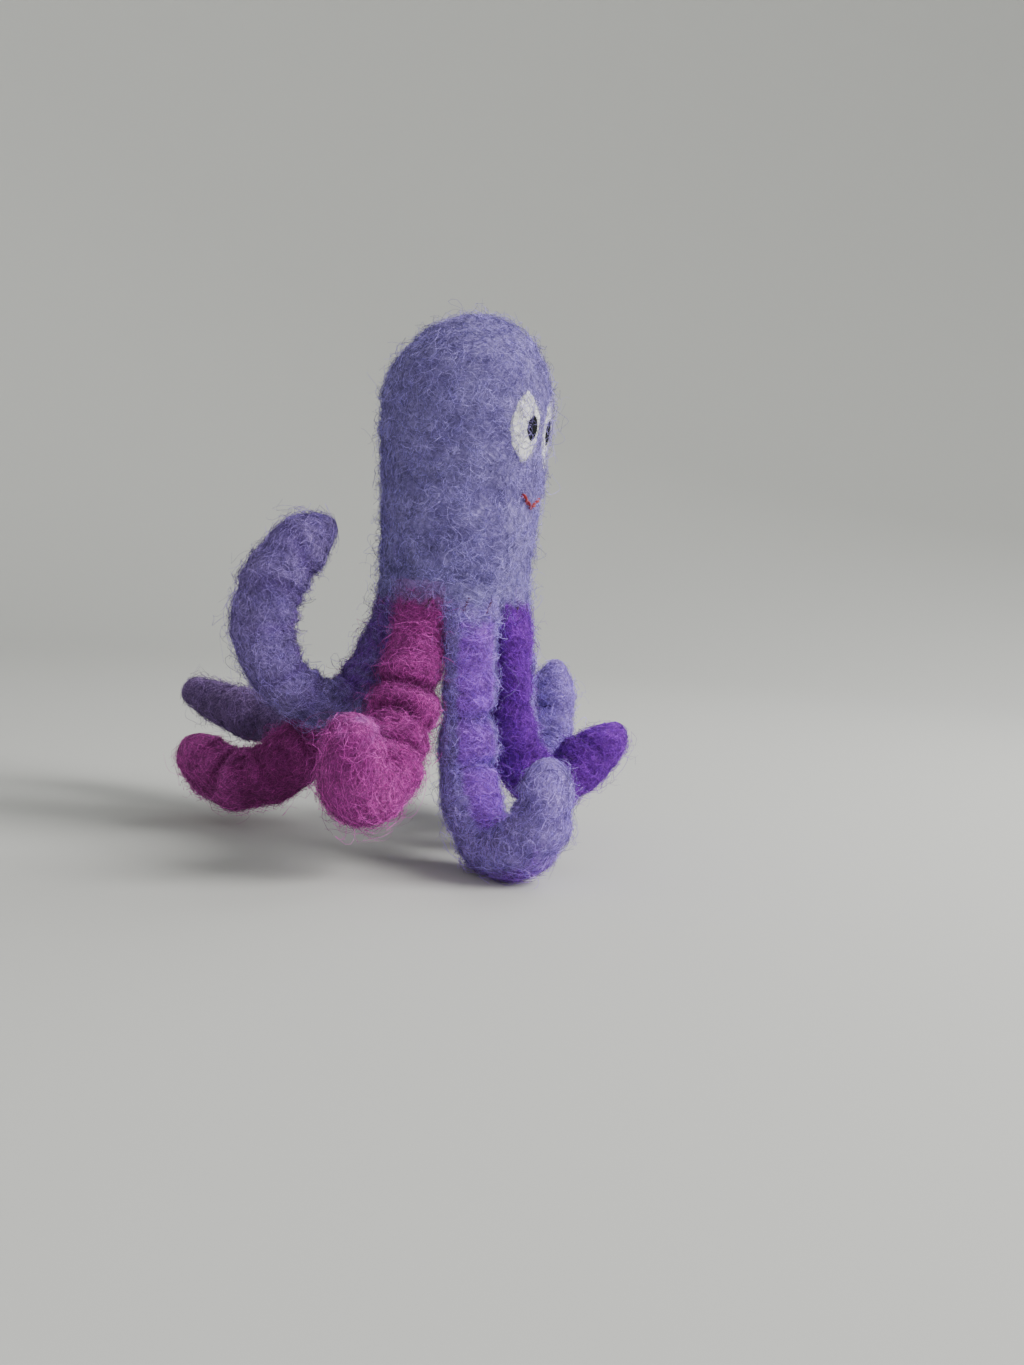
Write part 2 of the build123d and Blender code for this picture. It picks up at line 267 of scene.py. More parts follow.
class Bumps:
    """Soft unevenness that closes round a form: waves along it and a whole number of waves round it."""

    def __init__(self, seed, around, shortest, longest, terms=26):
        rng = np.random.default_rng(seed)
        length = shortest * (longest / shortest) ** rng.random(terms)
        angle = rng.random(terms) * math.tau
        self.along = math.tau / length * np.cos(angle)
        self.around = np.round(around / length * np.sin(angle))
        self.phase = rng.random(terms) * math.tau
        self.size = (length / longest) ** 0.5
        self.size /= np.sqrt((self.size**2).sum() / 2)

    def __call__(self, along, angle):
        total = np.zeros(np.broadcast(along, angle).shape)
        for k, n, phase, size in zip(self.along, self.around, self.phase, self.size):
            total += size * np.sin(k * along + n * angle + phase)
        return total


def mesh_object(name, points, faces, material, masks=None):
    """Object from points in millimetres and equal-sided faces. Its masks become attributes, as numbers
    or, with four values a point, as colours."""
    mesh = bpy.data.meshes.new(name)
    points = np.asarray(points, np.float32).reshape(-1, 3) * MM
    mesh.vertices.add(len(points))
    mesh.vertices.foreach_set("co", points.ravel())
    groups = faces if isinstance(faces, list) else [faces]
    loops = np.concatenate([group.ravel() for group in groups]).astype(np.int32)
    sizes = np.concatenate([np.full(len(group), group.shape[1], np.int32) for group in groups])
    mesh.loops.add(len(loops))
    mesh.loops.foreach_set("vertex_index", loops)
    mesh.polygons.add(len(sizes))
    mesh.polygons.foreach_set("loop_start", np.concatenate([[0], np.cumsum(sizes)[:-1]]).astype(np.int32))
    mesh.update(calc_edges=True)
    mesh.polygons.foreach_set("use_smooth", np.ones(len(sizes), bool))
    rest = mesh.attributes.new("rest", "FLOAT_VECTOR", "POINT")
    rest.data.foreach_set("vector", points.ravel())
    for key, values in (masks or {}).items():
        values = np.asarray(values, np.float32)
        kind, field = ("FLOAT_COLOR", "color") if values.ndim == 2 else ("FLOAT", "value")
        attribute = mesh.attributes.new(key, kind, "POINT")
        attribute.data.foreach_set(field, values.ravel())
    mesh.materials.append(material)
    item = bpy.data.objects.new(name, mesh)
    bpy.context.scene.collection.objects.link(item)
    return item


def tube_faces(rings, sides, first=0):
    """Quads of a tube of rings, and the rings' indices."""
    index = np.arange(rings * sides).reshape(rings, sides) + first
    turned = np.roll(index, -1, axis=1)
    return np.stack([index[:-1], turned[:-1], turned[1:], index[1:]], -1).reshape(-1, 4), index


def capped(rings, sides):
    """Faces of a tube closed by one more point at each end."""
    quads, index = tube_faces(rings, sides)
    low, high = rings * sides, rings * sides + 1
    start = np.stack([np.roll(index[0], -1), index[0], np.full(sides, low)], -1)
    end = np.stack([index[-1], np.roll(index[-1], -1), np.full(sides, high)], -1)
    return [quads, np.concatenate([start, end])]


# ---- forms: a surface that gives points from a distance along it, an angle round it and a height ----


class Head:
    """Outside of the head, from the rim's lower edge to the crown. Along is the distance up it."""

    def __init__(self):
        crown = np.sin(np.radians(np.linspace(0, 90, 60)))
        height = np.concatenate([np.linspace(RIM_ROUND, WIDEST_Z, 80), WIDEST_Z + CROWN_HEIGHT * crown[1:]])
        radius = self.radius_at(height)
        turn = np.radians(np.linspace(-90, 0, 12))[:-1]
        rim_r = radius[0] - RIM_ROUND + RIM_ROUND * np.cos(turn)
        rim_z = RIM_ROUND + RIM_ROUND * np.sin(turn)
        self.r, self.z = np.concatenate([rim_r, radius]), np.concatenate([rim_z, height])
        step = np.hypot(np.diff(self.r), np.diff(self.z))
        self.s = np.concatenate([[0], np.cumsum(step)])
        slope_r, slope_z = np.gradient(self.r, self.s), np.gradient(self.z, self.s)
        size = np.hypot(slope_r, slope_z)
        self.normal_r, self.normal_z = slope_z / size, -slope_r / size
        self.bumps = Bumps(SEED, NECK_R, 4.0, 26.0)
        self.length = self.s[-1]

    @staticmethod
    def radius_at(height):
        height = np.asarray(height, float)
        side = NECK_R + HEAD_BULGE * np.sin(np.radians(90 * np.clip(height / WIDEST_Z, 0, 1))) ** 2
        share = np.clip((height - WIDEST_Z) / CROWN_HEIGHT, 0, 1)
        return side * (1 - share**2) ** CROWN_POWER

    def along_at(self, height):
        """Distance up the head at a height on its side."""
        return np.interp(height, self.z, self.s)

    def ring_radius(self, along):
        return np.maximum(np.interp(along, self.s, self.r), 1.0)

    def point(self, along, angle, height):
        """Angle is the azimuth from the face, in radians."""
        along = np.clip(along, 0, self.length)
        r, z = np.interp(along, self.s, self.r), np.interp(along, self.s, self.z)
        nr, nz = np.interp(along, self.s, self.normal_r), np.interp(along, self.s, self.normal_z)
        fade = smooth((self.length - along) / 6) * smooth(along / 4)
        lift = height + HEAD_ROUGH * fade * self.bumps(along, angle)
        spread = outward(np.degrees(angle))
        crown = np.clip((z - WIDEST_Z) / CROWN_HEIGHT, 0, 1)
        lean = outward(0.0) * (CROWN_LEAN * crown**LEAN_POWER)[..., None]
        return spread * (r + nr * lift)[..., None] + UP * (z + nz * lift)[..., None] + lean


def crease_lean(place, angle):
    """How far a crease wanders along its arm as it runs round it."""
    return 0.9 * np.sin(angle + place) + 0.5 * np.sin(2 * angle + 2.3 * place)


class Arm:
    """An arm from the top of its root, inside the head's wall, to its tip."""

    def __init__(self, name, spec, seed):
        self.name, self.spec = name, spec
        self.profile = POINTED_PROFILE if "hook" in spec else ARM_PROFILE
        self.hinge = sum(arc[0] for arc in spec["upper"])
        self.length = sum(arc[0] for arc in spec["upper"] + spec["lower"])
        self.split = max(c for c in spec["creases"] if c < self.hinge)
        self.trace()
        self.bumps = Bumps(seed, 6.0, 2.6, 12.0)
        self.wander = Bumps(seed + 500, 6.0, 14.0, 40.0, 8)

    def trace(self):
        """Centre points and directions at even steps, from the tail's top to the tip."""
        spec, step = self.spec, ARM_STEP / 2
        columns = (np.array(column) for column in zip(*self.walk(step)))
        self.s, self.centre, azimuths, headings, bend = columns
        headings = np.radians(headings)[:, None]
        self.along = outward(azimuths) * np.sin(headings) - UP * np.cos(headings)
        count = round(TAIL / step)
        self.add_tail(count)
        azimuths = np.concatenate([np.full(count, azimuths[0]), azimuths])
        width = round(BEND_BLUR / step)
        kernel = np.hanning(2 * width + 1)
        padded = np.pad(np.concatenate([np.zeros(count), bend]), width, "edge")
        self.bend = np.convolve(padded, kernel / kernel.sum(), "valid")
        # Sections face the head at the root and turn into the arm's own plane below it.
        facing = spec["root"] + (azimuths - spec["root"]) * smooth((self.s + 2) / 16)
        flat = np.cross(outward(facing), UP)
        self.across = unit(flat - self.along * (flat * self.along).sum(-1, keepdims=True))
        self.inside = np.cross(self.across, self.along)

    def walk(self, step):
        """Rows of distance, point, azimuth, heading and bend along the arm's arcs."""
        spec = self.spec
        azimuth, heading = float(spec["plane"]), float(spec["heading"])
        point = outward(spec["root"]) * ROOT_RING_R - UP * ROOT_DROP
        rows = [(0.0, point, azimuth, heading, 0.0)]
        for length, turn, swing in spec["upper"] + spec["lower"]:
            count = round(length / step)
            for _ in range(count):
                middle = math.radians(heading + turn / count / 2)
                away = outward(azimuth + swing / count / 2)
                point = point + (away * math.sin(middle) - UP * math.cos(middle)) * length / count
                azimuth, heading = azimuth + swing / count, heading + turn / count
                done = rows[-1][0] + length / count
                rows.append((done, point, azimuth, heading, math.radians(turn) / length))
        return rows

    def add_tail(self, count):
        """The tail curves from the root up into the head's wall."""
        share = np.linspace(1, 0, count, endpoint=False)[:, None]
        top = outward(self.spec["root"]) * TAIL_TOP_R + UP * TAIL_TOP_Z
        h00, h10 = 2 * share**3 - 3 * share**2 + 1, share**3 - 2 * share**2 + share
        h01, h11 = -2 * share**3 + 3 * share**2, share**3 - share**2
        tail = h00 * self.centre[0] - h10 * self.along[0] * TAIL + h01 * top + h11 * UP * TAIL
        self.s = np.concatenate([-TAIL * share[:, 0], self.s])
        self.centre = np.concatenate([tail, self.centre])
        self.along = np.concatenate([unit(np.gradient(tail, axis=0)), self.along])

    def at(self, values, along):
        """A table's values at distances along the arm."""
        if values.ndim == 1:
            return np.interp(along, self.s, values)
        return np.stack([np.interp(along, self.s, values[:, axis]) for axis in range(3)], -1)

    def plain_sizes(self, along):
        """Half width and half thickness without creases."""
        share = np.clip(along / self.length, 0, 1)
        places, radii = zip(*self.profile)
        radius = self.spec["girth"] * sum(
            weight * np.interp(np.clip(share + offset, 0, 1), places, radii)
            for offset, weight in PROFILE_BLUR
        )
        tip = np.clip((self.length - along) / (TIP_ROUND * radius), 0, 1)
        radius = radius * np.sqrt(1 - (1 - tip) ** 2)
        settled = smooth(share / SETTLE_SHARE)
        wide = ROOT_WIDE + (WIDE_SHARE * radius - ROOT_WIDE) * settled
        thick = ROOT_THICK + (THICK_SHARE * radius - ROOT_THICK) * settled
        places, sizes = zip(*self.spec.get("bulk", PLAIN_BULK))
        bulk = np.interp(share, places, sizes) * smooth((self.length - along) / 4)
        wide, thick = wide + bulk, thick + THICK_BULK * bulk
        rise = smooth(-along / (TAIL - 1))
        return wide * (1 + TAIL_WIDEN * rise), thick * (1 - TAIL_THIN * rise)

    def crease(self, along, angle):
        """How deep in a crease a place is, from 0 to 1."""
        depth = np.zeros(np.broadcast(along, angle).shape)
        facing = 0.5 + 0.5 * np.cos(angle - math.radians(self.spec.get("crease_side", 0)))
        round_share = self.spec.get("crease_round", CREASE_ROUND)
        for place, reach, strength in self.creases():
            dip = strength * (round_share + (1 - round_share) * facing)
            dip = dip * np.exp(-(((along + crease_lean(place, angle) - place) / reach) ** 2))
            depth = np.maximum(depth, dip)
        return depth

    def creases(self):
        """Place, reach and strength of each crease, the inner fold at the curl hinge last."""
        end = self.spec.get("crease_end", self.length)
        found = [(c, CREASE_REACH, 1.0 if c < end else FAINT_CREASE) for c in self.spec["creases"]]
        return found + [(place, FOLD_REACH, strength) for place, strength in self.spec.get("folds", ())]

    def stripe(self, along, angle):
        """How far the second colour has been worked in at a place."""
        cover = np.zeros(np.broadcast(along, angle).shape)
        for low, high, middle, reach, strength in self.spec.get("stripes", ()):
            off = np.abs((np.degrees(angle) - middle + 180) % 360 - 180)
            within = smooth((along - low) / 12) * smooth((high - along) / 12)
            cover = np.maximum(cover, strength * within * smooth((reach + 16 - off) / 32))
        return cover

    def ring_radius(self, along):
        wide, thick = self.plain_sizes(along)
        return np.maximum((wide + thick) / 2, 0.8)

    def point(self, along, angle, height):
        """Angle 0 is the inside of the curl."""
        along = np.clip(along, self.s[0], self.length)
        wide, thick = self.plain_sizes(along)
        crease = self.crease(along, angle)
        rough = smooth((along + 2) / 8) * smooth((self.length + 1 - along) / 5)
        wave = (BUMP_ROUGH * self.bumps(along, angle) + WANDER_ROUGH * self.wander(along, angle)) * rough
        lift = height + wave - self.spec["crease_depth"] * crease * rough
        inward, sideways = np.cos(angle) * thick, np.sin(angle) * wide
        normal = np.stack([np.cos(angle) * wide, np.sin(angle) * thick], -1)
        normal = normal / np.maximum(np.linalg.norm(normal, axis=-1, keepdims=True), 1e-6)
        inward, sideways = inward + normal[..., 0] * lift, sideways + normal[..., 1] * lift
        # Felt on the inside of a tight bend bunches up instead of passing the bend's centre.
        room = FOLD_SHARE / np.maximum(self.at(self.bend, along), 1e-3)
        inward = np.where(inward > 0, room * np.tanh(inward / room), inward)
        hook = self.spec.get("hook", 0) * self.spec["girth"] * HOOK_REACH
        inward = inward - hook * smooth((along / self.length - HOOK_START) / HOOK_SPAN)
        centre, across, inside = (self.at(v, along) for v in (self.centre, self.across, self.inside))
        return centre + inside * inward[..., None] + across * sideways[..., None]


# ---- materials ----

STRANDS = (((0.5, 0.3, 0.8), 1500.0), ((0.2, 1.1, -0.7), 1700.0), ((-0.9, -0.5, 0.3), 1600.0))
STRAND_STRETCH = (1.0, 1.2, 4.5)
STRAND_DARK, STRAND_LIGHT = (0.82, 0.82, 0.84, 1), (1.14, 1.13, 1.12, 1)
STRAND_CROSSED = (1.2, 1.19, 1.17, 1)
PLAIN_SHEEN, SHEENS = 0.35, {"black_felt": 0.15}
FELT_RELIEF, THREAD_RELIEF = 0.0004, 0.0001  # metres
FIBRE_DARK, FIBRE_LIGHT = 0.45, 2.7  # a fibre's brightness at its mask's 0 and 1: random tone, and towards 1 painted light, a glow standing in for light shining through thin wool
PLAIN_TONE = 0.235  # the tone of felt under the fibres
MASKS = ("crease", "root", "stripe", "tone_and_glow")
NO_ROOT = -1.0  # a root mask that no noise lifts above 0

def node_maker(material):
    """Clears a material. Returns functions that link its nodes and that add one with values for its inputs
    or, where it has no such input, its settings."""
    material.use_nodes = True
    tree = material.node_tree
    tree.nodes.clear()

    def add(kind, **values):
        node = tree.nodes.new(kind)
        for key, value in values.items():
            if key in node.inputs:
                node.inputs[key].default_value = value
            else:
                setattr(node, key, value)
        return node

    return tree.links.new, add


def mixed(link, add, factor, first, second, mode="MIX"):
    """Output of a colour mix. A factor or colour is a socket or a value."""
    node = add("ShaderNodeMix", data_type="RGBA", blend_type=mode)
    for index, value in ((0, factor), (6, first), (7, second)):
        if isinstance(value, bpy.types.NodeSocket):
            link(value, node.inputs[index])
        else:
            node.inputs[index].default_value = value
    return node.outputs[2]


def ranged(link, add, value, low, high, new_low=0.0, new_high=1.0):
    """A value eased from one range to another."""
    node = add("ShaderNodeMapRange", interpolation_type="SMOOTHSTEP")
    link(value, node.inputs[0])
    for index, number in enumerate((low, high, new_low, new_high), 1):
        node.inputs[index].default_value = number
    return node.outputs[0]


def noise(link, add, place, scale, detail=4.0, roughness=0.6):
    node = add("ShaderNodeTexNoise", noise_dimensions="3D", Scale=scale, Detail=detail, Roughness=roughness)
    link(place, node.inputs["Vector"])
    return node.outputs[0]


def attribute(add, name, output="Fac"):
    return add("ShaderNodeAttribute", attribute_name=name).outputs[output]


def streaks(link, add, place, turn, scale):
    """Noise drawn out into short strands that run one way."""
    stretch = add("ShaderNodeMapping", vector_type="TEXTURE", Rotation=turn, Scale=STRAND_STRETCH)
    link(place, stretch.inputs["Vector"])
    return ranged(link, add, noise(link, add, stretch.outputs[0], scale, 3.0), 0.44, 0.68)


def broken(link, add, rest, mask, amount, low, high, scale):
    """A mask whose edge is frayed by noise."""
    total = add("ShaderNodeMath", operation="ADD")
    link(mask, total.inputs[0])
    link(ranged(link, add, noise(link, add, rest, scale), 0.3, 0.7, -amount, amount), total.inputs[1])
    return ranged(link, add, total.outputs[0], low, high)


def lit(link, add, shade, strands, tone_and_glow):
    """Fibre lines drawn over a colour, which is then made as bright as its mask says: random tone, and in
    the lighter fibres painted glow of light through the wool.
    """
    light = mixed(link, add, strands[0], STRAND_DARK, STRAND_LIGHT)
    for strand in strands[1:]:
        light = mixed(link, add, strand, light, STRAND_CROSSED)
    shade = mixed(link, add, 1.0, shade, light, "MULTIPLY")
    scaled = add("ShaderNodeMapRange")
    link(tone_and_glow, scaled.inputs[0])
    scaled.inputs[3].default_value, scaled.inputs[4].default_value = FIBRE_DARK, FIBRE_LIGHT
    grey = add("ShaderNodeCombineColor")
    for index in range(3):
        link(scaled.outputs[0], grey.inputs[index])
    return mixed(link, add, 1.0, shade, grey.outputs[0], "MULTIPLY")


def finish_shader(link, add, shader, heights, distance):
    """Relief from the sum of some heights, and the material's output."""
    height = heights[0]
    for other in heights[1:]:
        total = add("ShaderNodeMath", operation="ADD")
        link(height, total.inputs[0])
        link(other, total.inputs[1])
        height = total.outputs[0]
    bump = add("ShaderNodeBump", Strength=0.5, Distance=distance)
    link(height, bump.inputs["Height"])
    link(bump.outputs[0], shader.inputs["Normal"])
    output = add("ShaderNodeOutputMaterial")
    link(shader.outputs[0], output.inputs[0])


def felt(name, base, second, crease, root, stripe=None):
    """Felted wool: carded colours mottled together, with painted shade darkening the creases, and fine
    crossing fibres.
    """
    material = bpy.data.materials.new(name)
    link, add = node_maker(material)
    rest = attribute(add, "rest", "Vector")
    masks = {key: attribute(add, key) for key in MASKS}
    patches = ranged(link, add, noise(link, add, rest, 130.0, 3.0), 0.35, 0.65)
    shade = mixed(link, add, patches, base, second)
    if stripe is not None:
        frayed = broken(link, add, rest, masks["stripe"], 0.3, 0.15, 1.05, 420.0)
        shade = mixed(link, add, frayed, shade, stripe)
    # painted shade: the darker crease colour is mixed in where the crease mask says the felt folds in
    shade = mixed(link, add, masks["crease"], shade, crease)
    tint = attribute(add, "tint", "Color")
    frayed = broken(link, add, rest, masks["root"], 0.45, 0.1, 0.9, 280.0)
    shade = mixed(link, add, frayed, shade, tint if root is None else root)
    strands = [streaks(link, add, rest, turn, scale) for turn, scale in STRANDS]
    shader = add("ShaderNodeBsdfPrincipled", **{
        "Roughness": 0.95, "Specular IOR Level": 0.1, "Sheen Weight": SHEENS.get(name, PLAIN_SHEEN),
        "Sheen Roughness": 0.5, "Sheen Tint": [min(1.0, 0.3 + c) for c in base[:3]] + [1],
    })
    link(lit(link, add, shade, strands, masks["tone_and_glow"]), shader.inputs["Base Color"])
    fine = noise(link, add, rest, 1400.0, 6.0, 0.7)
    finish_shader(link, add, shader, [fine] + strands, FELT_RELIEF)
    return material


def thread(name, base, dark):
    """Matt twisted sewing thread."""
    material = bpy.data.materials.new(name)
    link, add = node_maker(material)
    rest = attribute(add, "rest", "Vector")
    fleck = ranged(link, add, noise(link, add, rest, 4200.0, 3.0), 0.35, 0.65)
    shader = add("ShaderNodeBsdfPrincipled", **{"Roughness": 0.8, "Sheen Weight": 0.3})
    link(mixed(link, add, fleck, dark, base), shader.inputs["Base Color"])
    finish_shader(link, add, shader, [noise(link, add, rest, 6000.0, 2.0)], THREAD_RELIEF)
    return material


# Main and second colour, the painted shade in the creases, the roots' colour, or None where the arms' tints
# show instead, and the wool worked in as stripes.
LAVENDER = (140, 128, 190)
FELT_COLOURS = {
    "lavender_felt": (LAVENDER, (128, 115, 180), (100, 88, 150), None),
    "periwinkle_felt": ((156, 132, 210), (144, 119, 202), (102, 76, 166), LAVENDER),
    "stripe_felt": ((154, 132, 208), (142, 119, 200), (118, 90, 184), LAVENDER, (150, 88, 208)),
    "violet_felt": ((124, 46, 180), (110, 39, 164), (68, 16, 112), LAVENDER),
    "iris_felt": ((140, 121, 184), (127, 108, 175), (92, 54, 144), LAVENDER, (110, 62, 156)),
    "dusk_felt": ((126, 101, 152), (113, 89, 140), (74, 54, 100), LAVENDER),
    "magenta_felt": ((178, 72, 162), (160, 58, 146), (104, 22, 92), (146, 118, 186), (162, 98, 172)),
    "plum_felt": ((158, 60, 142), (138, 49, 124), (74, 16, 66), (126, 78, 138), (176, 76, 160)),
    "white_felt": ((246, 246, 246), (236, 236, 238), (196, 196, 204), LAVENDER),
    "black_felt": ((22, 24, 26), (30, 32, 34), (10, 10, 12), LAVENDER),
}
THREAD_COLOURS = {
    "red_thread": ((178, 30, 44), (120, 14, 28)),
    "plum_thread": ((92, 34, 78), (56, 16, 46)),
    "violet_thread": ((84, 44, 120), (50, 22, 80)),
}
FELTS = {name: felt(name, *(c and colour(*c) for c in row)) for name, row in FELT_COLOURS.items()}
THREADS = {name: thread(name, *(colour(*c) for c in row)) for name, row in THREAD_COLOURS.items()}


# ---- fibres ----


def fibre_lift(rng, kind, count):
    """How high off the surface the end of each fibre stands."""
    low, middle, high = kind["lifts"]
    pick = rng.random(count)
    lift = rng.uniform(0.0, low, count)
    lift = np.where(pick < kind["stand"], rng.uniform(low, middle, count), lift)
    return np.where(pick < kind["fly"], rng.uniform(middle, high, count), lift)[:, None]


def any_turn(rng, count):
    return rng.random((count, 1)) * math.tau


def fibre_paths(form, rng, kind, along, angle):
    """Curly paths over a form: each starts under the surface and lifts off it towards its end."""
    count, points = len(along), kind["points"]
    length = rng.uniform(*kind["length"], count)[:, None]
    lift = fibre_lift(rng, kind, count)
    steps = np.linspace(0, 1, points)[None, :]
    curl = rng.uniform(*CURLS, (count, 1)) * (length / 4) ** 0.5
    waves = rng.uniform(*WAVES, (count, 1)) * (length / 5) ** 0.5
    heading = any_turn(rng, count)
    heading = heading + curl * np.sin(steps * waves + any_turn(rng, count))
    heading = heading + steps * rng.normal(0, DRIFT, (count, 1)) * (length / 5)
    travel = length / (points - 1)
    a = along[:, None] + np.cumsum(np.cos(heading) * travel, 1) - np.cos(heading[:, :1]) * travel
    b = angle[:, None] + np.cumsum(np.sin(heading) * travel / form.ring_radius(a), 1)
    arch = np.where(rng.random((count, 1)) < ARCHED, np.sin(steps * 2.6), steps**1.5)
    h = -0.1 + 0.2 * steps + lift * arch
    h = h + 0.12 * lift * np.sin(steps * 11 + any_turn(rng, count))
    return form.point(a, b, h), a, b


def fibre_mesh(paths, thickness):
    """Three-sided tapered tubes along paths: points and faces."""
    count, points = paths.shape[:2]
    tangent = unit(np.gradient(paths, axis=1) + 1e-9)
    side = unit(np.cross(tangent, np.array([0.31, 0.52, 0.79])) + 1e-9)
    other = np.cross(tangent, side)
    taper = thickness[:, None] * np.linspace(1.0, FIBRE_END, points)[None, :]
    corners = []
    for turn in np.arange(FIBRE_SIDES) * math.tau / FIBRE_SIDES:
        corners.append(paths + (side * math.cos(turn) + other * math.sin(turn)) * taper[..., None])
    verts = np.stack(corners, 2).reshape(-1, 3)
    quads, index = tube_faces(points, FIBRE_SIDES)
    ends = np.array([index[0][::-1], index[-1]])
    offset = (np.arange(count) * points * FIBRE_SIDES)[:, None, None]
    return verts, [(quads[None] + offset).reshape(-1, 4), (ends[None] + offset).reshape(-1, 3)]


def fuzz(name, form, seed, kind, count, low, high, material, masks_at):
    """Loose curly fibres of one kind over part of a form."""
    rng = np.random.default_rng(seed)
    along = rng.uniform(low, high, count * 3)
    weight = form.ring_radius(along)
    along = along[rng.random(count * 3) < weight / weight.max()][:count]
    count = len(along)
    paths, a, b = fibre_paths(form, rng, kind, along, rng.random(count) * math.tau)
    verts, faces = fibre_mesh(paths, rng.uniform(0.7, 1.15, count) * kind["radius"])
    masks = masks_at(np.repeat(a.reshape(-1), FIBRE_SIDES), np.repeat(b.reshape(-1), FIBRE_SIDES))
    # each fibre's brightness: random tone, and in the lighter ones painted glow of light through thin wool
    masks["tone_and_glow"] = np.repeat(rng.random(count) ** 1.4, kind["points"] * FIBRE_SIDES)
    # painted shade: fibres over a crease are darkened half as much as the felt
    masks["crease"] = masks["crease"] * FIBRE_CREASE_SHADE
    return mesh_object(name, verts, faces, material, masks)


# ---- pieces ----


def root_mask(cover):
    """Below 0 where a root's colour doesn't reach, so that noise frays it only at its edge."""
    return 1.5 * cover - 0.5


def head_masks(along, angle):
    """Each arm's colour spreads a little way up the head over its root."""
    away, total, tint = np.ones(len(along)), np.zeros(len(along)), np.zeros((len(along), 4))
    for spec in ARMS.values():
        off = np.abs((np.degrees(angle) - spec["root"] + 180) % 360 - 180)
        height, strength = spec.get("spread", PLAIN_SPREAD)
        weight = strength * np.exp(-((off / SPREAD_TURN) ** 2)) * smooth((height - along) / SPREAD_FADE)
        tint += weight[:, None] * np.array(colour(*spec["tint"]))
        total += weight
        away *= 1 - weight
    masks = patch_masks(len(along))
    masks["root"] = root_mask(1 - away)
    masks["tint"] = tint / np.maximum(total, 1e-6)[:, None]
    return masks


def patch_masks(count):
    """Masks of felt of one colour."""
    zeros = np.zeros(count)
    return {"crease": zeros, "root": zeros + NO_ROOT, "stripe": zeros, "tone_and_glow": zeros + PLAIN_TONE}


def arm_masks(arm):
    def masks(along, angle):
        return {
            # painted crease shade, darker on deeper creases
            "crease": arm.crease(along, angle) * min(1.0, arm.spec["crease_depth"]),
            "root": root_mask(smooth((-ROOT_FADE_LOW - along) / ROOT_FADE)),
            "stripe": arm.stripe(along, angle),
            "tone_and_glow": 0 * along + PLAIN_TONE,
        }

    return masks


def on_head(item):
    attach(item, "head")


def pocket_rings(angle):
    """Rings of the finger pocket, from its domed end down to the rim."""
    dome = np.radians(np.linspace(88, 0, 14))
    wall = np.linspace(POCKET_WALL, RIM_ROUND / 2, 40)[1:]
    lip_r = [POCKET_R + 0.4, POCKET_R + 1.2]
    radius = np.concatenate([POCKET_R * np.cos(dome), np.full(len(wall), POCKET_R), lip_r])
    height = np.concatenate([POCKET_WALL + POCKET_R * np.sin(dome), wall, [0.3, 0.0]])
    number = np.arange(len(radius))
    ripple = Bumps(SEED + 7, POCKET_R, 3.0, 12.0)(*np.meshgrid(number * 1.2, angle, indexing="ij"))
    wave = POCKET_ROUGH * ripple * smooth(number / 6)[:, None]
    spread = outward(np.degrees(angle))
    return spread[None] * (radius[:, None] + wave)[..., None] + UP * height[:, None, None]


def make_head(head):
    """Outside, rim and finger pocket as one closed felt form."""
    along = np.linspace(0, head.length, round(head.length / HEAD_STEP))[:-1]
    angle = np.linspace(0, math.tau, HEAD_SIDES, endpoint=False)
    grid_s, grid_a = np.meshgrid(along, angle, indexing="ij")
    outside = head.point(grid_s, grid_a, 0 * grid_s)
    inside = pocket_rings(angle)
    rings = np.concatenate([inside, outside])
    ends = np.array([[0, 0, POCKET_WALL + POCKET_R], outside[-1].mean(0) + UP * 0.05])
    verts = np.concatenate([rings.reshape(-1, 3), ends])
    low = np.full(inside.shape[:2], POCKET_PLACE).ravel()
    masks = head_masks(
        np.concatenate([low, grid_s.ravel(), [POCKET_PLACE, head.length]]),
        np.concatenate([np.tile(angle, len(rings)), [0, 0]]),
    )
    item = mesh_object("felt_head", verts, capped(len(rings), HEAD_SIDES), FELTS["lavender_felt"], masks)
    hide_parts("head_shell")
    on_head(item)
    top = head.length - 0.5
    coats = [(f"fuzz_head_{n + 1}", SEED + 1 + n, COAT, HEAD_FIBRES, top) for n in range(HEAD_COATS)]
    coats.append(("strays_head", SEED + 9, STRAYS, HEAD_STRAYS, top))
    coats.append(("strays_neck", SEED + 10, STRAYS, NECK_STRAYS, NECK_STRAYS_TOP))
    for name, seed, kind, count, high in coats:
        coat = fuzz(name, head, seed, kind, count, 0.3, high, FELTS["lavender_felt"], head_masks)
        on_head(coat)


def arm_part(arm, low, high, close_low, close_high):
    """Rings of an arm between two distances, rounded shut behind its ends where asked."""
    along = np.linspace(low, high, max(8, round((high - low) / ARM_STEP)))
    grow = np.ones_like(along)
    cap = np.radians(np.linspace(80, 10, 6))
    if close_low:
        along = np.concatenate([low - close_low * np.sin(cap), along])
        grow = np.concatenate([np.cos(cap), grow])
    if close_high:
        along = np.concatenate([along, high + close_high * np.sin(cap[::-1])])
        grow = np.concatenate([grow, np.cos(cap[::-1])])
    angle = np.linspace(0, math.tau, ARM_SIDES, endpoint=False)
    held = np.clip(along, low, high)
    grid_s, grid_a = np.meshgrid(held, angle, indexing="ij")
    skin = arm.point(grid_s, grid_a, 0 * grid_s)
    centre_held, centre = arm.at(arm.centre, held)[:, None], arm.at(arm.centre, along)[:, None]
    rings = centre + (skin - centre_held) * grow[:, None, None]
    ends = np.array([rings[0].mean(0), rings[-1].mean(0)])
    verts = np.concatenate([rings.reshape(-1, 3), ends])
    s = np.concatenate([grid_s.ravel(), [held[0], held[-1]]])
    a = np.concatenate([grid_a.ravel(), [0, 0]])
    return verts, capped(len(rings), ARM_SIDES), s, a


def bend_between(item):
    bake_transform(item)


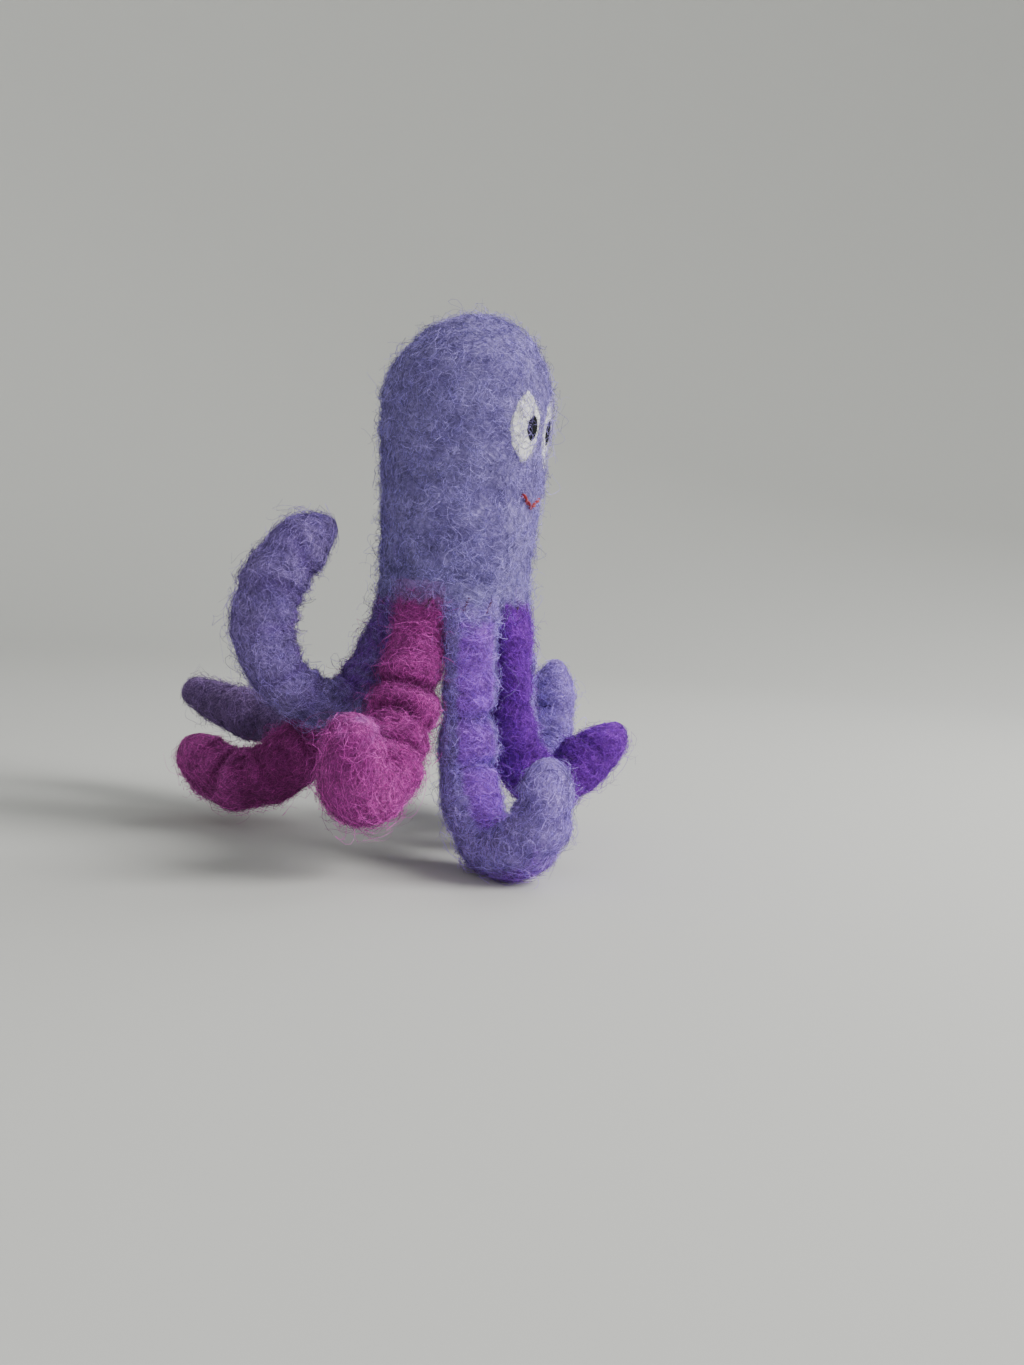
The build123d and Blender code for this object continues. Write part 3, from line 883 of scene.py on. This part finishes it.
def make_arm(arm, number):
    """An arm's two felt pieces and their coats of fibres."""
    name, slot = arm.name, arm.spec["felt"]
    material = FELTS[arm.spec.get("look", slot)]
    upper, lower = f"arm_{name}_upper", f"arm_{name}_lower"
    root = arm.at(arm.centre, np.array([0.0]))[0]
    down = arm.at(arm.along, np.array([0.0]))[0] * LIFT_BLEND
    hinge = arm.at(arm.centre, np.array([arm.hinge]))[0]
    lower_middle = arm.at(arm.centre, np.linspace(arm.hinge, arm.length, 20)).mean(0)
    upper_middle = arm.at(arm.centre, np.linspace(arm.split, arm.hinge, 10)).mean(0)
    across = unit(lower_middle - upper_middle) * CURL_BLEND
    parts = (
        ("upper", arm.s[0] + 0.5, arm.split, 0, CLOSE, "head", upper, root - down, root + down),
        ("lower", arm.split, arm.length - 0.3, CLOSE, 0, upper, lower, hinge - across, hinge + across),
    )
    masks_at = arm_masks(arm)
    coats = (("fuzz", COAT, FIBRES_PER_MM), ("strays", STRAYS, arm.spec.get("strays", STRAYS_PER_MM)))
    for index, (part, low, high, close_low, close_high, first, second, start, end) in enumerate(parts):
        verts, faces, s, a = arm_part(arm, low, high, close_low, close_high)
        item = mesh_object(f"felt_arm_{name}_{part}", verts, faces, material, masks_at(s, a))
        bend_between(item)
        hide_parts(f"arm_{name}_{part}")
        low = max(low, FUZZ_TOP)
        seed = SEED + 20 + number * 4 + index
        for label, kind, each_mm in coats:
            count = min(MOST_FIBRES, round((high - low) * each_mm * arm.spec["girth"]))
            title = f"{label}_arm_{name}_{part}"
            coat = fuzz(title, arm, seed, kind, count, low, high, material, masks_at)
            bend_between(coat)
            seed += 1000


def twisted(name, paths, material, radius):
    """Two-ply thread along paths of points, as one object."""
    verts, quads, triangles, total = [], [], [], 0
    ring = np.linspace(0, math.tau, PLY_SIDES, endpoint=False)[None, :, None]
    for path in paths:
        path = np.asarray(path)
        tangent = unit(np.gradient(path, axis=0))
        side = unit(np.cross(tangent, np.array([0.2, 0.3, 0.93])))
        other = np.cross(tangent, side)
        length = np.concatenate([[0], np.cumsum(np.linalg.norm(np.diff(path, axis=0), axis=1))])
        for ply in range(2):
            turn = (length / PLY_LENGTH + ply * math.pi)[:, None]
            core = path + (side * np.cos(turn) + other * np.sin(turn)) * radius * PLY_OFF
            skin = side[:, None] * np.cos(ring) + other[:, None] * np.sin(ring)
            tube = core[:, None] + skin * radius * PLY_R
            walls, caps = capped(len(path), PLY_SIDES)
            verts.append(np.concatenate([tube.reshape(-1, 3), core[[0, -1]]]))
            quads.append(walls + total)
            triangles.append(caps + total)
            total += len(path) * PLY_SIDES + 2
    faces = [np.concatenate(quads), np.concatenate(triangles)]
    return mesh_object(name, np.concatenate(verts), faces, material)


def bowed(share, power):
    """How far a stitch stands out of the felt at each share of its length."""
    return np.clip(1 - np.abs(2 * share - 1) ** power, 0, 1)


def head_stitch(head, start, end):
    """A stitch over the head between two (azimuth, height) places, sunk at its ends."""
    share = np.linspace(0, 1, 28)
    azimuth = start[0] + (end[0] - start[0]) * share
    height = start[1] + (end[1] - start[1]) * share
    return head.point(head.along_at(height), np.radians(azimuth), -0.9 + 1.35 * np.sqrt(bowed(share, 4)))


def make_mouth(head):
    places = []
    for index in range(MOUTH_STITCHES + 1):
        share = 2 * index / MOUTH_STITCHES - 1
        places.append((share * MOUTH_AZIMUTH, MOUTH_Z + MOUTH_RISE * abs(share)))
    mouth = [head_stitch(head, a, b) for a, b in zip(places, places[1:])]
    item = twisted("mouth_thread", mouth, THREADS["red_thread"], THREAD_R * MOUTH_THREAD)
    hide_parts("mouth_stitches")
    on_head(item)


def make_neck_stitches(arms):
    share = np.linspace(0, 1, 24)
    up = NECK_STITCH_LOW + (NECK_STITCH_HIGH - NECK_STITCH_LOW) * share + ROOT_DROP
    neck = []
    for arm in arms:
        for azimuth in NECK_STITCH_AZIMUTHS:
            turn = -np.radians(azimuth + NECK_STITCH_LEAN * share) * NECK_R / ROOT_WIDE
            neck.append(arm.point(-up, turn, -0.8 + 0.85 * np.sqrt(bowed(share, 4))))
    item = twisted("neck_thread", neck, THREADS["plum_thread"], THREAD_R * NECK_THREAD)
    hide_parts("neck_stitches")
    on_head(item)


def make_crease_threads(arm):
    share = np.linspace(0, 1, 30)
    angle = np.radians((2 * share - 1) * CREASE_STITCH_TURN)
    height = -0.8 + 0.75 * bowed(share, 8)
    for part, low, high in (("upper", 0, arm.hinge), ("lower", arm.hinge, arm.length)):
        places = [place for place in arm.spec["creases"] if low < place < high]
        paths = [arm.point(place - crease_lean(place, angle), angle, height) for place in places]
        name, material = f"thread_arm_{arm.name}_{part}", THREADS["violet_thread"]
        item = twisted(name, paths, material, THREAD_R * CREASE_THREAD)
        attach(item, f"arm_{arm.name}_{part}")
        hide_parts(f"arm_{arm.name}_{part}_thread")


def on_patch(head, azimuth, x, y):
    """Places on the head of points across and up from an eye's middle."""
    along = head.along_at(EYE_Z + y)
    return along, math.radians(azimuth) + x / head.ring_radius(along)


def felt_patch(name, head, patch, seed):
    """Pointed felt patch that lies on the head, crowned and a little ragged at its edge."""
    rng = np.random.default_rng(seed)
    turn = np.linspace(0, math.tau, PATCH_SIDES, endpoint=False)
    ragged = 1 + 0.022 * np.sin(turn * 9 + rng.random() * 6) + 0.018 * np.sin(turn * 17 + rng.random() * 6)
    edge_x = patch["width"] / 2 * np.cos(turn) * np.abs(np.cos(turn)) ** 0.7 * ragged
    edge_y = patch["height"] / 2 * np.sin(turn) * ragged
    share = np.sin(np.linspace(0.02, 1, PATCH_RINGS) * math.pi / 2)
    top = patch["loft"] * np.sqrt(1 - share**6)
    shares = np.concatenate([share, share[::-1][1:]])[:, None]
    heights = np.concatenate([patch["base"] + top, np.full(PATCH_RINGS - 1, patch["base"] - PATCH_SINK)])
    along, angle = on_patch(head, patch["azimuth"], shares * edge_x, shares * edge_y)
    rings = head.point(along, angle, heights[:, None] + 0 * angle)
    verts = np.concatenate([rings.reshape(-1, 3), [rings[0].mean(0), rings[-1].mean(0)]])
    faces = capped(len(shares), PATCH_SIDES)
    return mesh_object(name, verts, faces, FELTS[patch["slot"]], patch_masks(len(verts)))


def patch_fuzz(name, head, patch, seed):
    """Short fibres over a patch, but not over a pupil that lies on it."""
    rng = np.random.default_rng(seed)
    width, height, count = patch["width"], patch["height"], patch["hairs"]
    x, y = rng.uniform(-1, 1, count * 2), rng.uniform(-1, 1, count * 2)
    keep = np.abs(x) < (1 - y**2) * 0.98
    if "pupil_at" in patch:
        off_x = (x * width / 2 - patch["pupil_at"]) / (PUPIL_WIDTH / 2 + PUPIL_CLEAR)
        off_y = y * height / (PUPIL_HEIGHT + 2 * PUPIL_CLEAR)
        keep &= off_x**2 + off_y**2 > 1
    x, y = x[keep][:count] * width / 2, y[keep][:count] * height / 2
    along, angle = on_patch(head, patch["azimuth"], x, y)
    paths, _, angles = fibre_paths(head, rng, PATCH_COAT, along, angle)
    paths = paths + outward(np.degrees(angles)) * (patch["base"] + patch["loft"])
    verts, faces = fibre_mesh(paths, rng.uniform(0.6, 1.0, len(x)) * PATCH_COAT["radius"])
    masks = patch_masks(len(verts))
    masks["tone_and_glow"] = np.repeat(rng.uniform(0.1, 0.3, len(x)), PATCH_COAT["points"] * FIBRE_SIDES)
    return mesh_object(name, verts, faces, FELTS[patch["slot"]], masks)


def make_eyes(head):
    for side, name in ((-1, "right"), (1, "left")):
        eye = {
            "azimuth": side * EYE_AZIMUTH, "width": EYE_WIDTH, "height": EYE_HEIGHT, "base": 0.0,
            "loft": EYE_LOFT, "slot": "white_felt", "node": "eye_white", "hairs": EYE_HAIRS,
            "pupil_at": math.radians(side * (PUPIL_AZIMUTH - EYE_AZIMUTH)) * (NECK_R + HEAD_BULGE),
        }
        pupil = {
            "azimuth": side * PUPIL_AZIMUTH, "width": PUPIL_WIDTH, "height": PUPIL_HEIGHT, "base": EYE_LOFT,
            "loft": PUPIL_LOFT, "slot": "black_felt", "node": "pupil", "hairs": PUPIL_HAIRS,
        }
        for label, patch in (("eye_felt", eye), ("pupil_felt", pupil)):
            seed = SEED + 200 + side * 3 + patch["hairs"]
            item = felt_patch(f"{label}_{name}", head, patch, seed)
            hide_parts(f"{patch['node']}_{name}")
            on_head(item)
            on_head(patch_fuzz(f"{label}_{name}_fuzz", head, patch, seed + 1))


# ---- stage ----


def seen_from(azimuth, elevation):
    """Direction from the object towards an azimuth and elevation, in degrees, 0 being the face's side."""
    a, e = math.radians(azimuth), math.radians(elevation)
    return Vector((math.sin(a) * math.cos(e), -math.cos(a) * math.cos(e), math.sin(e)))


def make_camera():
    a, roll = math.radians(CAMERA_AZIMUTH), math.radians(CAMERA_ROLL)
    back = seen_from(CAMERA_AZIMUTH, CAMERA_HEIGHT)
    right = Vector((math.cos(a), math.sin(a), 0))
    up = back.cross(right)
    picture_right = right * math.cos(roll) + up * math.sin(roll)
    picture_up = up * math.cos(roll) - right * math.sin(roll)
    origin = Vector(frame["record"]["mounts"][0]["pos_m"])
    target = origin + (picture_right * CAMERA_ASIDE + picture_up * CAMERA_DOWN) * MM
    data = bpy.data.cameras.new("camera")
    data.sensor_width = SENSOR
    data.lens = SENSOR / 2 / math.tan(math.radians(CAMERA_HALF_ANGLE))
    data.clip_start, data.clip_end = 0.01, 20
    camera = bpy.data.objects.new("camera", data)
    place = target + back * CAMERA_DISTANCE * MM
    turn = Matrix((picture_right, picture_up, back)).transposed().to_4x4()
    camera.matrix_world = Matrix.Translation(place) @ turn
    bpy.context.scene.collection.objects.link(camera)
    bpy.context.scene.camera = camera


def make_floor():
    """Pale floor that curves up into a backdrop behind the object."""
    material = bpy.data.materials.new("floor")
    link, add = node_maker(material)
    shader = add("ShaderNodeBsdfPrincipled", **{
        "Base Color": (0.53, 0.535, 0.515, 1), "Roughness": 0.85, "Emission Color": (0.84, 0.85, 0.81, 1),
    })
    place = add("ShaderNodeNewGeometry").outputs["Position"]
    reach = add("ShaderNodeVectorMath", operation="LENGTH")
    link(place, reach.inputs[0])
    glow = ranged(link, add, reach.outputs["Value"], 0.3, 1.6, 0.0, BACKDROP_GLOW)
    link(glow, shader.inputs["Emission Strength"])
    output = add("ShaderNodeOutputMaterial")
    link(shader.outputs[0], output.inputs[0])
    level = (CAD_LOW.z / MM) - FLOOR_DROP
    angle = np.linspace(0, math.tau, 96, endpoint=False)
    curve = np.radians(np.linspace(0, 88, 24))
    spread, rise = FLOOR_R + FLOOR_CURVE * np.sin(curve), FLOOR_CURVE * (1 - np.cos(curve))
    radius = np.concatenate([FLOOR_RINGS, spread, [FLOOR_R + FLOOR_CURVE + 20]])
    height = np.concatenate([[0.0] * len(FLOOR_RINGS), rise, [FLOOR_CURVE + FLOOR_WALL]]) + level
    rings = outward(np.degrees(angle))[None] * radius[:, None, None] + UP * height[:, None, None]
    quads, index = tube_faces(len(radius), len(angle))
    middle = rings[0].mean(0)
    verts = np.concatenate([rings.reshape(-1, 3), [middle]])
    fan = np.stack([index[0], np.roll(index[0], -1), np.full(len(angle), len(verts) - 1)], -1)
    item = mesh_object("floor", verts, [quads[:, ::-1], fan], material)


def make_light(name, azimuth, elevation, distance, size, power, tint=(1, 1, 1)):
    """Square soft light that looks at the object, with its distance and size in metres."""
    back = seen_from(azimuth, elevation)
    data = bpy.data.lights.new(name, "AREA")
    data.size, data.energy, data.color = size, power, tint
    item = bpy.data.objects.new(name, data)
    item.location = back * distance + Vector((0, 0, 0.01))
    item.rotation_mode = "QUATERNION"
    item.rotation_quaternion = back.to_track_quat("Z", "Y")
    bpy.context.scene.collection.objects.link(item)


def make_lights():
    make_light("key", CAMERA_AZIMUTH + 78, 32, 0.9, 0.5, 13.4, (1.0, 0.985, 0.96))
    make_light("fill", CAMERA_AZIMUTH - 10, 25, 1.0, 0.8, 1.3, (0.95, 0.97, 1.0))
    make_light("back", CAMERA_AZIMUTH + 140, 40, 1.0, 0.6, 4.0)
    world = bpy.data.worlds.new("studio")
    world.use_nodes = True
    background = world.node_tree.nodes["Background"]
    background.inputs[0].default_value = (0.93, 0.94, 0.96, 1)
    background.inputs[1].default_value = WORLD_LIGHT
    bpy.context.scene.world = world


make_camera()
make_floor()
make_lights()
HEAD = Head()
LIMBS = [Arm(name, spec, SEED + 100 + index) for index, (name, spec) in enumerate(ARMS.items())]
make_head(HEAD)
make_eyes(HEAD)
for index, limb in enumerate(LIMBS):
    make_arm(limb, index)
make_mouth(HEAD)
make_neck_stitches(LIMBS)
for limb in LIMBS:
    make_crease_threads(limb)
